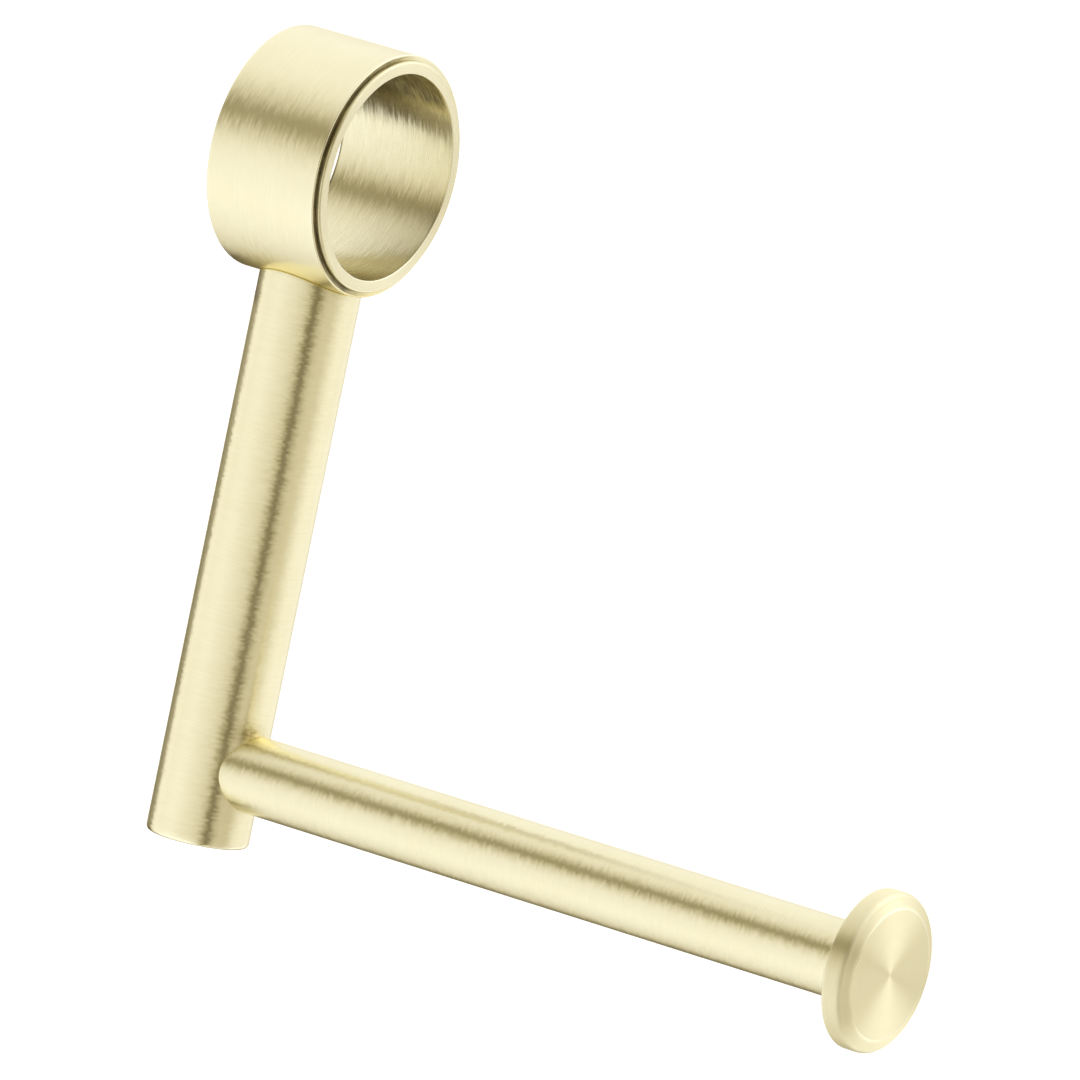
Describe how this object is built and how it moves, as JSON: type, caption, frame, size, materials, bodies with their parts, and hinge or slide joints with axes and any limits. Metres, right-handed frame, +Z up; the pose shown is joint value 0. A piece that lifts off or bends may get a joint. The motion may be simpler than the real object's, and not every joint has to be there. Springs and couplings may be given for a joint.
{
  "type": "toilet roll holder",
  "caption": "Toilet roll holder for a round grab rail: a collar on the rail, a drop post and a level roll arm ending in a round stop flange.",
  "frame": {"origin": "centre of the rail bore, on the axis of the drop post", "axes": "+X along the rail and the roll arm, from the post to the end flange; +Y towards the wall behind the rail; +Z up"},
  "size_m": [0.1366, 0.038, 0.1259],
  "materials": {
    "brushed_gold": "pale gold, brushed round each tube, satin",
    "spun_gold": "pale gold, spun in fine circles, satin",
    "plain_brass": "bright machined brass, hidden inserts",
    "stainless_steel": "plain turned stainless steel",
    "nylon": "natural white nylon"
  },
  "bodies": {
    "holder": {"rail_collar": "brushed_gold", "collar_sleeve": "brushed_gold", "collar_screw": "stainless_steel", "post_tube": "brushed_gold", "post_top_insert": "plain_brass", "post_end_plug": "brushed_gold", "arm_grub_screw": "stainless_steel", "arm_tube": "brushed_gold", "arm_spigot": "plain_brass", "arm_end_insert": "plain_brass", "flange_stud": "stainless_steel", "end_flange": "spun_gold"},
    "thrust_pad": {"rail_thrust_pad": "nylon"},
    "grub_screw": {"rail_grub_screw": "stainless_steel"}
  },
  "joints": [
    {"name": "thrust_pad_press", "type": "slide", "parent": "holder", "child": "thrust_pad", "axis": [0, -0.5, 0.866], "range_m": [0, 0.00045]},
    {"name": "grub_screw_turn", "type": "hinge", "parent": "thrust_pad", "child": "grub_screw", "pos_m": [-0.0062, 0.00925, -0.01602], "axis": [0, -0.5, 0.866], "range_deg": [0, 231.5]}
  ],
  "couplings": [
    {"joint": "grub_screw_turn", "follows": "thrust_pad_press", "rad_per_m": 8976}
  ]
}
